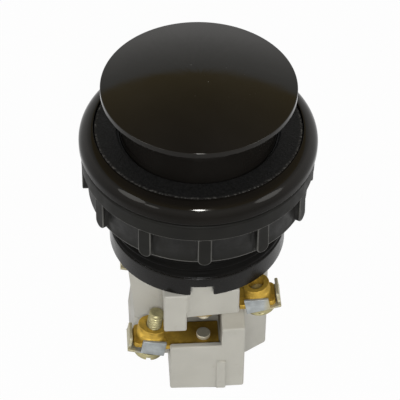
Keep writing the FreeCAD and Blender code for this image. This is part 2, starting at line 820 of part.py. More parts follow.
def contact_strip(label, reach, narrowed, position, angle):
    """Strip with its bent tab and drawn collar; outwards is +X before it is turned."""
    body = new_body(label)
    rise = d.terminal_length * sine(d.terminal_tilt)
    run = d.terminal_length * cosine(d.terminal_tilt)
    thick_x = d.strip_thickness * sine(d.terminal_tilt)
    thick_z = d.strip_thickness * cosine(d.terminal_tilt)
    bend = sine(d.terminal_tilt) / (1 + cosine(d.terminal_tilt))
    points = [
        (-d.strip_end, -d.strip_thickness),
        (reach + d.strip_thickness * bend, -d.strip_thickness),
        (reach + run + thick_x, rise - thick_z),
        (reach + run, rise),
        (reach, 0),
        (-d.strip_end, 0),
    ]
    profile = outline(sketch_on(body, "XZ_Plane"), points)
    pad(body, profile, d.strip_half * 2, both_sides=True)
    inside = sketch_on(body, "XY_Plane")
    if narrowed:
        inner_end = -d.strip_end - 1
        shoulder = d.arm_half + d.tab_fit
        rectangle(inside, (inner_end, d.strip_waist), (shoulder, d.strip_half + 1))
        rectangle(inside, (inner_end, -d.strip_half - 1), (shoulder, -d.strip_waist))
        pocket(body, inside, d.strip_thickness)
    else:
        shoulder = d.base_left - d.tab_fit
        rectangle(inside, (-d.strip_end, -d.strip_wide), (shoulder, d.strip_wide))
        pad(body, inside, d.strip_thickness, turned=True)
    outer = (reach + run).value - NEAR
    half = d.strip_half.value - NEAR

    def corner(edge):
        ends = [vertex.Point for vertex in edge.Vertexes]
        return all(p.x > outer for p in ends) and abs(sum(p.y for p in ends)) > half

    round_edges(body, d.terminal_corner, corner)
    for radius, adds in ((d.collar_radius, True), (d.screw_radius + d.press_fit, False)):
        sketch = sketch_on(body, "XY_Plane")
        turn = Rotation(Vector(0, -1, 0), d.terminal_tilt.value)
        sketch.AttachmentOffset = Placement(Vector(0, 0, 0), turn)
        bind(sketch, "AttachmentOffset.Base.x", reach + d.terminal_hole * cosine(d.terminal_tilt))
        bind(sketch, "AttachmentOffset.Base.z", d.terminal_hole * sine(d.terminal_tilt))
        bind(sketch, "AttachmentOffset.Rotation.Angle", d.terminal_tilt)
        circle(sketch, radius)
        if adds:
            pad(body, sketch, d.collar_height)
        else:
            pocket(body, sketch, (d.collar_height + d.strip_thickness) * 4, both_sides=True)
    place(body, position, Vector(0, 0, 1), angle)
    return body


def clamp_plate(label, way):
    """Plate whose side lips and upturned end stand around the tab; its origin is on its top."""
    body = new_body(label)
    bottom = -d.clamp_wall
    inner_end = d.clamp_inner * -way
    outer_end = d.clamp_outer * way
    lip_end = d.clamp_lip * way
    end_wall = (d.clamp_outer - d.clamp_wall) * way
    inside = d.strip_half + d.tab_fit
    side = inside + d.clamp_wall
    plate = sketch_on(body, "XY_Plane", bottom)
    rectangle(plate, (inner_end, -side), (outer_end, side))
    pad(body, plate, d.clamp_wall)
    lips = sketch_on(body, "XY_Plane", bottom)
    rectangle(lips, (inner_end, inside), (lip_end, side))
    rectangle(lips, (inner_end, -side), (lip_end, -inside))
    rectangle(lips, (end_wall, -d.clamp_end), (outer_end, d.clamp_end))
    pad(body, lips, d.clamp_wall + d.clamp_rise)
    far = abs(end_wall.value) - NEAR

    def corner(edge):
        ends = [vertex.Point for vertex in edge.Vertexes]
        along = abs(ends[0].y - ends[1].y) < NEAR
        return along and all(p.z > d.clamp_rise.value - NEAR and abs(p.x) > far for p in ends)

    round_edges(body, d.terminal_corner, corner)

    def bend(edge):
        ends = [vertex.Point for vertex in edge.Vertexes]
        return all(p.z < bottom.value + NEAR and abs(p.x) > far + d.clamp_wall.value for p in ends)

    round_edges(body, d.clamp_wall / 2, bend)
    hole = circle(sketch_on(body, "XY_Plane", bottom), d.screw_radius + d.screw_play)
    pocket(body, hole, d.clamp_wall, turned=True)
    return body


def slotted_screw(label, radius, head_top, tip):
    """Screw that stands head down on its own axis."""
    body = new_body(label)
    bottom = head_top - d.screw_head_height
    points = [
        (0, bottom),
        (d.screw_head - d.screw_chamfer, bottom),
        (d.screw_head, bottom + d.screw_chamfer),
        (d.screw_head, head_top),
        (radius, head_top),
        (radius, tip - d.screw_chamfer),
        (radius - d.screw_chamfer, tip),
        (0, tip),
    ]
    revolve(body, points)
    slot = sketch_on(body, "XY_Plane", bottom)
    rectangle(slot, (-d.screw_slot / 2, -d.screw_head - 1), (d.screw_slot / 2, d.screw_head + 1))
    pocket(body, slot, d.screw_head_height / 2, turned=True)
    return body


def terminals():
    """Four strips with clamp plates and screws: lower ones left, upper ones right."""
    pieces = []
    screws = []
    hole_run = d.terminal_hole * cosine(d.terminal_tilt)
    hole_rise = d.terminal_hole * sine(d.terminal_tilt)
    thick_x = d.strip_thickness * sine(d.terminal_tilt)
    thick_z = d.strip_thickness * cosine(d.terminal_tilt)
    tight = as_size(0)
    kinds = (
        ("no", -1, d.lower_reach, lower_top, d.lower_tip, (d.lower_slack, d.loose_screw)),
        ("nc", 1, d.upper_reach, upper_top, d.upper_tip, (tight, tight)),
    )
    for kind, way, reach, level, tip, drops in kinds:
        screw_end = d.strip_thickness + d.collar_height + tip
        offsets = (-d.strip_offset, d.strip_offset)
        for end, offset, drop in zip(("front", "back"), offsets, drops):
            turn = 180 if way < 0 else 0
            place_at = (0, offset, level)
            strip = contact_strip(f"contact_strip_{kind}_{end}", reach, way > 0, place_at, turn)
            x = way * (reach + hole_run + thick_x + drop * sine(d.terminal_tilt))
            z = level + hole_rise - thick_z - drop * cosine(d.terminal_tilt)
            clamp = clamp_plate(f"clamp_plate_{kind}_{end}", way)
            screw = slotted_screw(f"screw_{kind}_{end}", d.screw_radius, -d.clamp_wall, screw_end)
            for piece in (clamp, screw):
                place(piece, (x, offset, z), AXIS * -way, d.terminal_tilt)
            pieces += [strip, clamp]
            screws.append(screw)
    doc.recompute()
    return pieces + [group("terminal_screws", screws)]


def block_screws():
    head_top = block_end + d.screw_head_height + d.stop_play
    tip = web_top - d.web_thickness + d.block_screw_grip
    screws = []
    for name, offset in (("left", -d.block_screw_offset), ("right", d.block_screw_offset)):
        screw = slotted_screw(f"block_screw_{name}", d.block_screw, head_top, tip)
        screws.append(place(screw, (offset, 0, 0)))
    doc.recompute()
    return group("block_screws", screws)


def tip_group(label, height, levels):
    """Round silver tips in front of and behind the axis, standing on the given levels."""
    tips = []
    for level in levels:
        for offset in (-d.tip_offset, d.tip_offset):
            tip = doc.addObject("Part::Cylinder", f"{label}_tip")
            bind(tip, "Radius", d.tip_radius)
            bind(tip, "Height", height)
            tips.append(place(tip, (d.tip_shift, offset, level)))
    doc.recompute()
    return group(label, tips)


def contact_bridge():
    body = new_body("contact_bridge")
    sketch = sketch_on(body, "XY_Plane", bridge_under)
    rectangle(sketch, (-d.bridge_half, -d.bridge_reach), (d.bridge_half, d.bridge_reach))
    pad(body, sketch, d.bridge_thickness)

    def corner(edge):
        return abs(edge.tangentAt(edge.FirstParameter).z) > 1 - NEAR

    round_edges(body, d.bridge_corner, corner)
    return body


def contact_carrier():
    body = new_body("contact_carrier")
    block = sketch_on(body, "XY_Plane", stem_end)
    rectangle(block, (-d.carrier_half, -d.carrier_half), (d.carrier_half, d.carrier_half))
    pad(body, block, stem_end - carrier_end, turned=True)
    window = sketch_on(body, "XZ_Plane")
    half = d.bridge_half + d.carrier_fit
    rectangle(window, (-half, bridge_under), (half, bridge_top + d.contact_length))
    pocket(body, window, d.carrier_half * 2 + 2, both_sides=True)
    bore = circle(sketch_on(body, "XY_Plane", carrier_end), d.carrier_pocket)
    pocket(body, bore, d.carrier_pocket_depth, turned=True)
    return body


nodes = [mushroom_cap(), push_stem(), stem_clip(), bezel_ring(), panel_gasket(), body_sleeve()]
nodes += [wiper_seal(), ring_nut(), upper_housing(), lower_housing()]
nodes += terminals()
nodes += [block_screws(), contact_bridge(), contact_carrier()]
nodes.append(tip_group("fixed_contact_tips", d.tip_height, (lower_top, upper_under - d.tip_height)))
bridge_levels = (bridge_top, bridge_under - d.bridge_tip)
nodes.append(tip_group("bridge_contact_tips", d.bridge_tip, bridge_levels))
head_length = cavity_roof - web_top
nodes.append(spring("head_spring", d.head_coil, d.head_wire, d.head_turns, web_top, head_length))
free = d.contact_length
nodes.append(spring("contact_spring", d.contact_coil, d.contact_wire, d.contact_turns, bridge_top, free))
carrier_length = carrier_roof - well_floor
nodes.append(
    spring("carrier_spring", d.carrier_coil, d.carrier_wire, d.carrier_turns, well_floor, carrier_length)
)
doc.recompute()

for item in doc.Objects:
    if "Invalid" in item.State or "Error" in item.State:
        raise RuntimeError(f"{item.Label} did not recompute: {item.State}")
for node in nodes:
    if node.Shape.isNull() or not node.Shape.isValid():
        raise RuntimeError(f"{node.Label} has no valid shape")
    node.Shape.exportStep(f"parts/{node.Label}.step")
    print(f"{node.Label}: {len(node.Shape.Solids)} solids, {node.Shape.Volume:.1f} mm3")
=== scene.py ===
import math

import bmesh
import bpy
from bpy.props import FloatProperty, FloatVectorProperty, IntProperty, PointerProperty
from bpy.types import Operator, Panel, PropertyGroup
from mathutils import Euler, Matrix, Vector


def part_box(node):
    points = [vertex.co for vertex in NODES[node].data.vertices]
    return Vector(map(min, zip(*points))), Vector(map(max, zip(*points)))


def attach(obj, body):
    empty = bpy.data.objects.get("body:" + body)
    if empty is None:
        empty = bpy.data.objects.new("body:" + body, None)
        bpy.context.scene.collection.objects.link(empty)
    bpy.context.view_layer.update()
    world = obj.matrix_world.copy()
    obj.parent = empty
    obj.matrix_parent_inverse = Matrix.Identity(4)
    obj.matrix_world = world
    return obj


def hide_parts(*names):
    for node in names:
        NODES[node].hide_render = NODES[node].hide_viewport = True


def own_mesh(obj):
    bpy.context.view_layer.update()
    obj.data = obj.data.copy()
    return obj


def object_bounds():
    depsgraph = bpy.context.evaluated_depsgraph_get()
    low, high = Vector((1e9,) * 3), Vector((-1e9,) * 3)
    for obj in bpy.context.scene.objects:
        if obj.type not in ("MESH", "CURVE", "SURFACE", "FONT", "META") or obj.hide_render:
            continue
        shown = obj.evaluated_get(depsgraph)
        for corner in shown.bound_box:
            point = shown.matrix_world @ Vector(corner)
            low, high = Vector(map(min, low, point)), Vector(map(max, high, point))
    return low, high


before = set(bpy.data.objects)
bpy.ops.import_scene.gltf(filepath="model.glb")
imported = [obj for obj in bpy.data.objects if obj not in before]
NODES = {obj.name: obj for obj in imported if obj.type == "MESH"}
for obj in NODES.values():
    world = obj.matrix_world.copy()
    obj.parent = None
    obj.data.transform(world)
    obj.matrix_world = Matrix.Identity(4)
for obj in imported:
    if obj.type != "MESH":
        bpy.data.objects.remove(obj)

bl_info = {
    "name": "Mushroom Push Button",
    "version": (1, 0, 0),
    "blender": (4, 5, 0),
    "location": "3D View > Sidebar > Push Button",
    "description": "Finishes a mushroom-head panel button and its contact block",
    "category": "Object",
}

CAD_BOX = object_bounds()
UP = Vector((0, 0, 1))
ENDS = ("no_front", "no_back", "nc_front", "nc_back")

# Reading and rounding the CAD meshes. Lengths are in metres throughout.
WELD = 2e-6  # points nearer than this are one point
THREAD_WELD = WELD / 10
ON_SHANK = WELD * 5
AT_LIP = WELD * 10
FLAT = math.radians(0.4)  # faces that meet at less are one face
SHARP = math.radians(32)  # edges that turn by more are rounded
EDGE_STEPS = 3
ROUND_PROFILE = 0.5
FACE_WEIGHT = 60
SHORTEST_MOULDED_EDGE = 0.0004
SHANK_TIP = 0.0035  # stretch at a screw's tip that is shank alone
NUT_BAND = 0.2  # top share of the nut's height without the painted edge highlight

# Threads and springs.
THREAD_STEPS = 10
TOOTH_SLOPE = 1.6
TOOTH_FOOT = 0.3
SLEEVE_COLUMNS = 160  # points around the sleeve
SCREW_COLUMNS = 40
WIRE_SIDES = 12
WIRE_STEPS = 48  # rings in a turn of a spring
CAD_WIRE_CORNER = math.radians(60)

# Collars of the strips, measured from the axis of the screw. The lower ones reach further out.
COLLAR = 0.0022
COLLAR_WALL = COLLAR * 0.75  # points further out are on the outer wall
COLLAR_RISE = 0.00145
COLLAR_WIDER = 1.1
COLLAR_LONGER = 1.2
TAB_START = -0.9 * COLLAR  # the lower tabs point to the left
TAB_LONGER = 0.0003

# Upturned ends and side lips of the clamp plates.
CLAMP_END = 0.001  # length of the upturned end
CLAMP_TAPER = 0.85
CLAMP_CLOSER = {"no": 0.00025, "nc": 0.0006}  # nearer the tab, by level
CLAMP_LIFT = {"no_front": 0.00045}
LIP_RISE = 0.0004

# Where dust, tarnish, painted shade and a painted highlight lie.
DUSTY_SPOT = (0.002, -0.001, 0.0147)
DUSTY_REACH = 0.008
DUST_AND_HIGHLIGHT_RIM = (0.0006, 0.0003)  # dust and painted highlight, in from the edge of the face ring
# Painted shade on the block's low up-facing ledges, below this level.
LEDGE_SHADE_LEVEL = -0.023
LEDGE_SHADE_FADE = 0.002
# Painted shade: brass and block under the arm, darkened around the lower contacts.
CONTACT_SHADE_ASIDE = 0.001
CONTACT_SHADE_INWARD = 0.77  # share of the tip's distance from the middle
CONTACT_SHADE_ABOVE = 0.0018
BRASS_CONTACT_SHADE_REACH = 0.0070
BLOCK_CONTACT_SHADE_REACH = 0.005
TARNISH_START = 0.002  # out from the innermost terminal screw
TARNISH_FADE = 0.001

# Finishes. The stretch of a grain makes lines drawn along one axis.
EVEN = (1, 1, 1)
ALONG_X = (1, 6, 6)
ALONG_Y = (4, 1, 4)
CLOUD_START = 0.3
CLOUD_END = 0.7
WARM_GLOSS = (1, 0.97, 0.91, 1)
SIDE_GLOSS = 0.35  # share of the polish on upright faces
BURNT = 0.22
HANDLED = 1.8  # how much paler the marks on dark plastic are; their low up-facing ledges take it too, as painted light

# Floor, room and lamps. The room's shades go by height, from the floor up.
FLOOR_RADIUS = 3
FLOOR_SIDES = 96
FLOOR_WHITE = 0.97  # share of plain white that the camera sees
ROOM_LIGHT = 0.36
ROOM_SIDES = (1, 0.94, 0.82)
ROOM_TOP = (0.3, 0.28, 0.25)
ROOM_SHOWN = (
    (0.36, (1, 1, 1)),
    (0.61, (0.55, 0.56, 0.55)),
    (0.64, (0.42, 0.33, 0.15)),
    (0.95, (0.10, 0.085, 0.07)),
)
LAMP_COLOUR = (0.97, 0.985, 1)
LAMP_DISTANCE = 0.75
LAMPS = {
    "front_lamp": {"azimuth": -2, "elevation": 42, "size": 0.11, "power": 2.8},
    "left_lamp": {"azimuth": -43, "elevation": 20, "size": 0.16, "power": 0.2},
    "left_box": {"azimuth": -64, "elevation": 25, "size": 0.34, "power": 1.0},
    "right_box": {"azimuth": 61, "elevation": 22, "size": 0.34, "power": 1.0},
}
NEAREST_SHOWN = 0.01


def length(name, description, default):
    """Size in metres."""
    return FloatProperty(
        name=name, description=description, default=default, unit="LENGTH", precision=5
    )


def angle(name, description, degrees):
    """Angle, given here in degrees."""
    return FloatProperty(
        name=name, description=description, default=math.radians(degrees), subtype="ANGLE"
    )


def colour(name, description, default):
    """Linear colour."""
    return FloatVectorProperty(
        name=name, description=description, default=default, subtype="COLOR", size=3, min=0, max=1
    )


def count(name, description, default):
    """Whole number."""
    return IntProperty(name=name, description=description, default=default)


class FinishColours(PropertyGroup):
    """Base colours of the finishes."""

    cap: colour("Cap", "Polished black of the cap", (0.009, 0.008, 0.007))
    bezel: colour("Bezel", "Polished black of the bezel", (0.007, 0.006, 0.005))
    face: colour("Face ring", "Grained black of the face ring", (0.005, 0.005, 0.005))
    sleeve: colour("Sleeve", "Satin black of the collar", (0.005, 0.0045, 0.004))
    # Darker than the sleeve: painted shade under the nut.
    thread: colour("Thread", "Dull black of the thread", (0.003, 0.0028, 0.0025))
    nut: colour("Nut", "Matt black of the ring nut", (0.007, 0.0067, 0.0055))
    # Paler rounded edges of the nut: painted highlight.
    edge_highlight: colour("Worn edge", "Rubbed edges of the nut", (0.045, 0.044, 0.040))
    rubber: colour("Rubber", "Gasket and wiper seal", (0.015, 0.015, 0.015))
    housing: colour("Housing", "Off-white moulded block", (0.462, 0.450, 0.404))
    # Soil of the handling marks, also painted as shade on the block's low up-facing ledges.
    soil_and_shade: colour("Soil", "Soil on the block", (0.280, 0.245, 0.175))
    stem: colour("Stem", "Dark plastic of the stem", (0.030, 0.030, 0.030))
    carrier: colour("Carrier", "Dark plastic of the contact carrier", (0.050, 0.035, 0.025))
    brass: colour("Brass", "Contact strips and bridge", (0.540, 0.345, 0.055))
    zinc: colour("Zinc", "Bluish plate of the clamps", (0.380, 0.405, 0.410))
    chromate: colour("Chromate", "Yellow-green ends of the clamps", (0.460, 0.410, 0.250))
    passivated: colour("Passivated zinc", "Yellow-green screw plating", (0.420, 0.380, 0.210))
    silver: colour("Silver", "Contact tips", (0.800, 0.740, 0.580))
    # Painted shade on the brass and the block under the arm, around the lower contacts.
    brass_contact_shade: colour("Soot on brass", "Brass darkened near the contacts", (0.100, 0.055, 0.008))
    block_contact_shade: colour("Soot on block", "Block darkened near the contacts", (0.060, 0.040, 0.015))
    steel: colour("Spring steel", "Spring wire", (0.420, 0.410, 0.390))
    # Pale dust: specks on the cap and bezel, and the line along the face ring's rim, which is
    # partly dust and partly a painted highlight of the bezel's inner edge.
    dust_and_highlight: colour("Dust", "Pale dust on the black plastic", (0.300, 0.290, 0.270))


class DetailSizes(PropertyGroup):
    """Sizes of the detail that the finish adds."""

    sleeve_pitch: length("Sleeve pitch", "Thread pitch of the sleeve", 0.0015)
    sleeve_depth: length("Sleeve thread depth", "Thread depth of the sleeve", 0.00055)
    screw_pitch: length("Screw pitch", "Thread pitch of the terminal screws", 0.0006)
    screw_depth: length("Screw thread depth", "Thread depth of the terminal screws", 0.00022)
    moulded_edge: length("Moulded edge", "Rounded edges of the white block", 0.00035)
    nut_edge: length("Nut edge", "Rounded edges of the nut", 0.00020)
    metal_edge: length("Metal edge", "Rounded edges of stamped metal", 0.00014)
    black_edge: length("Black edge", "Rounded edges of cap and bezel", 0.00010)
    collar_edge: length("Collar edge", "Rounded edges of the sleeve", 0.00025)
    head_turns: count("Head turns", "Turns of the head spring", 5)
    contact_turns: count("Contact turns", "Turns of the contact spring", 4)
    carrier_turns: count("Carrier turns", "Turns of the carrier spring", 5)


class StageSizes(PropertyGroup):
    """Camera and floor of the photograph."""

    azimuth: angle("Azimuth", "Camera direction about the axis", -4)
    elevation: angle("Elevation", "Camera height above the horizon", 44.65)
    roll: angle("Roll", "Camera roll", 0.85)
    distance: length("Distance", "Camera from the middle of the button", 0.373)
    middle: length("Middle", "Height that the camera looks at", -0.0130)
    aside: length("Aside", "Camera moved to its own right", 0.00044)
    lens: FloatProperty(
        name="Lens", description="Focal length in millimetres", default=198, unit="CAMERA"
    )
    floor: colour("Floor", "Plain pale floor", (0.700, 0.700, 0.700))


def new_piece(name, data):
    """Object in the scene for a mesh, lamp or camera."""
    piece = bpy.data.objects.new(name, data)
    bpy.context.scene.collection.objects.link(piece)
    return piece


def piece_of(name, mesh):
    """Piece made of a finished bmesh."""
    data = bpy.data.meshes.new(name)
    mesh.to_mesh(data)
    mesh.free()
    return new_piece(name, data)


def joined_mesh(node):
    """Mesh of a CAD node, copied, with its doubled points joined."""
    mesh = bmesh.new()
    mesh.from_mesh(NODES[node].data)
    bmesh.ops.remove_doubles(mesh, verts=mesh.verts, dist=WELD)
    return mesh


def smooth(piece):
    """Smooth shading on every face."""
    piece.data.polygons.foreach_set("use_smooth", [True] * len(piece.data.polygons))
    return piece


def even_normals(piece):
    """Shading that keeps large faces flat beside their rounded edges."""
    normals = piece.modifiers.new("Face normals", "WEIGHTED_NORMAL")
    normals.weight = FACE_WEIGHT
    return piece


def soften(piece, width):
    """Small rounded edges from modifiers; the piece's own points stay where they are."""
    smooth(piece)
    weld = piece.modifiers.new("Joined points", "WELD")
    weld.merge_threshold = WELD
    flat = piece.modifiers.new("Whole faces", "DECIMATE")
    flat.decimate_type = "DISSOLVE"
    flat.angle_limit = FLAT
    edge = piece.modifiers.new("Rounded edges", "BEVEL")
    edge.width = width
    edge.segments = EDGE_STEPS
    edge.limit_method = "ANGLE"
    edge.angle_limit = SHARP
    edge.use_clamp_overlap = False
    return even_normals(piece)


def rounded_copy(name, node, width, shortest=0, finish_index=-1, reshape=None):
    """Copy of a CAD node in its place, reshaped if asked, with its outer edges rounded.

    Edges no longer than the shortest stay sharp. The roundings take the finish of that index.
    """
    mesh = joined_mesh(node)
    if reshape:
        for vert in mesh.verts:
            vert.co = reshape(vert.co)
    bmesh.ops.dissolve_limit(mesh, angle_limit=FLAT, verts=mesh.verts, edges=mesh.edges)
    outer = [
        edge
        for edge in mesh.edges
        if edge.is_convex and edge.calc_face_angle() > SHARP and edge.calc_length() > shortest
    ]
    bmesh.ops.bevel(
        mesh,
        geom=outer,
        offset=width,
        segments=EDGE_STEPS,
        profile=ROUND_PROFILE,
        affect="EDGES",
        material=finish_index,
    )
    piece = even_normals(smooth(piece_of(name, mesh)))
    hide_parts(node)
    return piece


def without_wall(name, node, on_wall):
    """Copy of a CAD node without the faces whose points all pass the test."""
    mesh = joined_mesh(node)
    wall = [face for face in mesh.faces if all(on_wall(vert.co) for vert in face.verts)]
    if not wall:
        raise RuntimeError(f"{node} has no wall for a thread")
    bmesh.ops.delete(mesh, geom=wall, context="FACES")
    return piece_of(name, mesh)


def loose_parts(node):
    """Points of each separate solid of a CAD node."""
    mesh = joined_mesh(node)
    mesh.verts.index_update()
    seen = set()
    parts = []
    for start in mesh.verts:
        if start in seen:
            continue
        found = {start}
        edge = {start}
        while edge:
            edge = {link.other_vert(vert) for vert in edge for link in vert.link_edges} - found
            found |= edge
        seen |= found
        parts.append([vert.co.copy() for vert in sorted(found, key=lambda vert: vert.index)])
    mesh.free()
    return parts


def screw_place(points):
    """Place of a screw that leans in the XZ plane; its own Z runs from head to tip."""
    centre = sum(points, Vector()) / len(points)
    xx = sum((point.x - centre.x) ** 2 for point in points)
    zz = sum((point.z - centre.z) ** 2 for point in points)
    xz = sum((point.x - centre.x) * (point.z - centre.z) for point in points)
    lean = math.atan2(2 * xz, zz - xx) / 2
    return Matrix.Translation(centre) @ Matrix.Rotation(lean, 4, "Y")


def shank_wall(local):
    """Radius and the two end levels of a screw's shank."""
    tip = max(point.z for point in local)
    radii = sorted({round(point.xy.length, 5) for point in local if point.z > tip - SHANK_TIP})
    radius = radii[-1]
    levels = [point.z for point in local if abs(point.xy.length - radius) < ON_SHANK]
    return radius, min(levels), max(levels)


def terminal_axis(end):
    """Place on the axis of the screw that holds a terminal."""
    low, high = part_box(f"clamp_plate_{end}")
    middle = (low + high) / 2
    places = [screw_place(points) for points in loose_parts("terminal_screws")]
    return min(places, key=lambda place: (place.translation.xy - middle.xy).length)


def switching_points():
    """Places behind and above the lower fixed tips, where the painted shade under the arm
    centres.
    """
    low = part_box("fixed_contact_tips")[0].z
    places = []
    for points in loose_parts("fixed_contact_tips"):
        if min(point.z for point in points) < low + WELD:
            tip = sum(points, Vector()) / len(points)
            places.append(Vector((tip.x + CONTACT_SHADE_ASIDE, tip.y * CONTACT_SHADE_INWARD, tip.z + CONTACT_SHADE_ABOVE)))
    return places


def drawn_collar(end):
    """Reshape that draws a strip's collar up to its full height and width."""
    place = terminal_axis(end)
    inverse = place.inverted()
    local = [inverse @ vert.co for vert in NODES[f"contact_strip_{end}"].data.vertices]
    top = max(point.z for point in local if point.xy.length < COLLAR)
    lower = end.startswith("no")

    def reshape(point):
        own = inverse @ point
        if lower and own.xy.length > COLLAR and own.x < TAB_START:
            return place @ Vector((own.x - TAB_LONGER, own.y, own.z))
        if own.xy.length > COLLAR or own.z < top - COLLAR_RISE:
            return point
        wide = COLLAR_WIDER if own.xy.length > COLLAR_WALL else 1
        long = wide * COLLAR_LONGER if lower and wide > 1 and own.x < 0 else wide
        lift = COLLAR_RISE if own.z > top - COLLAR_RISE / 2 else 0
        return place @ Vector((own.x * long, own.y * wide, own.z + lift))

    return reshape


def tapered_end(end):
    """Reshape that narrows the outer end of a clamp plate and draws its lips up."""
    place = terminal_axis(end)
    inverse = place.inverted()
    local = [inverse @ vert.co for vert in NODES[f"clamp_plate_{end}"].data.vertices]
    far = max(abs(point.x) for point in local)
    top = max(point.z for point in local)
    closer = CLAMP_CLOSER[end[:2]]
    lift = CLAMP_LIFT.get(end, 0)

    def reshape(point):
        own = inverse @ point
        own.z += lift
        if abs(own.x) > far - CLAMP_END:
            own.x -= math.copysign(closer, own.x)
            own.y *= CLAMP_TAPER
        elif own.z > top + lift - AT_LIP:
            own.z += LIP_RISE
        return place @ own

    return reshape


def flush_edge():
    """Reshape that brings the lower half's upper left edge in to the tapered wall above it."""
    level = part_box("upper_housing")[0].z
    points = [vert.co for vert in NODES["upper_housing"].data.vertices]
    foot = [point for point in points if point.x < 0 and point.z < level + WELD]
    inset = min(point.x for point in foot)
    corner = max(abs(point.y) for point in foot if point.x < inset + WELD)

    def reshape(point):
        if abs(point.z - level) < WELD and point.x < inset - WELD:
            return Vector((inset, math.copysign(corner, point.y), point.z))
        return point

    return reshape


def add_thread(mesh, place, radius, low, high, pitch, depth, columns):
    """Single-start thread on a cylinder wall; the groove dies out at both ends."""
    rows = (math.ceil((high - low) / pitch) + 1) * THREAD_STEPS
    previous = None
    for column in range(columns + 1):
        turn = column / columns
        around = math.tau * turn
        strip = []
        for row in range(rows + 1):
            level = min(max(low + (row / THREAD_STEPS + turn - 1) * pitch, low), high)
            fade = min(1, (level - low) / pitch, (high - level) / pitch)
            phase = row % THREAD_STEPS / THREAD_STEPS
            tooth = min(1, max(0, TOOTH_SLOPE * (1 - abs(2 * phase - 1)) - TOOTH_FOOT))
            reach = radius - depth * (1 - tooth) * fade
            point = Vector((reach * math.cos(around), reach * math.sin(around), level))
            strip.append(mesh.verts.new(place @ point))
        if previous:
            for corners in zip(previous, strip, strip[1:], previous[1:]):
                mesh.faces.new(corners)
        previous = strip


def thread_piece(name, threads):
    """Mesh of one or more threads, each given as the arguments of add_thread."""
    mesh = bmesh.new()
    for thread in threads:
        add_thread(mesh, *thread)
    bmesh.ops.remove_doubles(mesh, verts=mesh.verts, dist=THREAD_WELD)
    return smooth(piece_of(name, mesh))


def round_wire(name, node, turns):
    """Helical spring of round wire in the place of a CAD spring of six-sided wire."""
    low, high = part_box(node)
    reaches = [vert.co.xy.length for vert in NODES[node].data.vertices]
    wire = (max(reaches) - min(reaches)) / 2
    coil = (max(reaches) + min(reaches)) / 2
    flat = wire * math.sin(CAD_WIRE_CORNER)
    bottom = low.z + flat
    rise = high.z - flat - bottom
    steps = WIRE_STEPS * turns
    spokes = [math.tau * side / WIRE_SIDES for side in range(WIRE_SIDES)]
    mesh = bmesh.new()
    previous = None
    for step in range(steps + 1):
        around = math.tau * turns * step / steps
        out = Vector((math.cos(around), math.sin(around), 0))
        centre = out * coil + UP * (bottom + rise * step / steps)
        ring = [
            mesh.verts.new(centre + wire * (out * math.cos(spoke) + UP * math.sin(spoke)))
            for spoke in spokes
        ]
        if previous:
            for side in range(WIRE_SIDES):
                following = (side + 1) % WIRE_SIDES
                corners = (previous[side], previous[following], ring[following], ring[side])
                mesh.faces.new(corners)
        else:
            mesh.faces.new(ring)
        previous = ring
    mesh.faces.new(reversed(previous))
    bmesh.ops.recalc_face_normals(mesh, faces=mesh.faces)
    return smooth(piece_of(name, mesh))


def finish(piece, material):
    """Give a piece one finish all over."""
    piece.data.materials.clear()
    piece.data.materials.append(material)
    return piece


def new_finish(name, base, roughness, metal=0.0, specular=0.5):
    """Material with its constants on the shader's own sockets."""
    material = bpy.data.materials.new(name)
    material.use_nodes = True
    shader = material.node_tree.nodes["Principled BSDF"]
    shader.inputs["Base Color"].default_value = (*base, 1)
    shader.inputs["Roughness"].default_value = roughness
    shader.inputs["Metallic"].default_value = metal
    shader.inputs["Specular IOR Level"].default_value = specular
    return material, material.node_tree, shader


def shaded(base, factor):
    """Colour made darker or lighter."""
    return tuple(min(channel * factor, 1) for channel in base)


def grain(tree, size, detail, stretch=EVEN):
    """Noise fixed to the piece, with grains of about the given size."""
    place = tree.nodes.new("ShaderNodeTexCoord")
    scale = tree.nodes.new("ShaderNodeMapping")
    scale.inputs["Scale"].default_value = stretch
    noise = tree.nodes.new("ShaderNodeTexNoise")
    noise.inputs["Scale"].default_value = 1 / size
    noise.inputs["Detail"].default_value = detail
    tree.links.new(place.outputs["Object"], scale.inputs["Vector"])
    tree.links.new(scale.outputs["Vector"], noise.inputs["Vector"])
    return noise.outputs[0]


def between(tree, value, start, end, low, high):
    """Value that runs from low to high while another runs from start to end."""
    spread = tree.nodes.new("ShaderNodeMapRange")
    sockets = ("From Min", "From Max", "To Min", "To Max")
    for name, number in zip(sockets, (start, end, low, high)):
        spread.inputs[name].default_value = number
    tree.links.new(value, spread.inputs["Value"])
    return spread.outputs["Result"]


def patches(tree, size, detail, start, end, low, high):
    """Value that goes from low to high in patches of about the given size."""
    return between(tree, grain(tree, size, detail), start, end, low, high)


def shades(tree, value, stops):
    """Colour that runs through the stops, each a place and a shade, as a value rises."""
    ramp = tree.nodes.new("ShaderNodeValToRGB")
    marks = ramp.color_ramp.elements
    places, colours = zip(*stops)
    marks[0].position = places[0]
    marks[1].position = places[-1]
    for place in places[1:-1]:
        marks.new(place)
    for mark, shade in zip(marks, colours):
        mark.color = (*shade, 1)
    tree.links.new(value, ramp.inputs["Fac"])
    return ramp.outputs["Color"]


def mottled(tree, base, size, detail, dark, light):
    """Base colour in cloudy shades, from dark to light times itself."""
    stops = ((CLOUD_START, shaded(base, dark)), (CLOUD_END, shaded(base, light)))
    return shades(tree, grain(tree, size, detail), stops)


def over(tree, amount, below, above):
    """One colour laid over another."""
    mix = tree.nodes.new("ShaderNodeMix")
    mix.data_type = "RGBA"
    tree.links.new(amount, mix.inputs["Factor"])
    tree.links.new(below, mix.inputs["A"])
    mix.inputs["B"].default_value = (*above, 1)
    return mix.outputs["Result"]


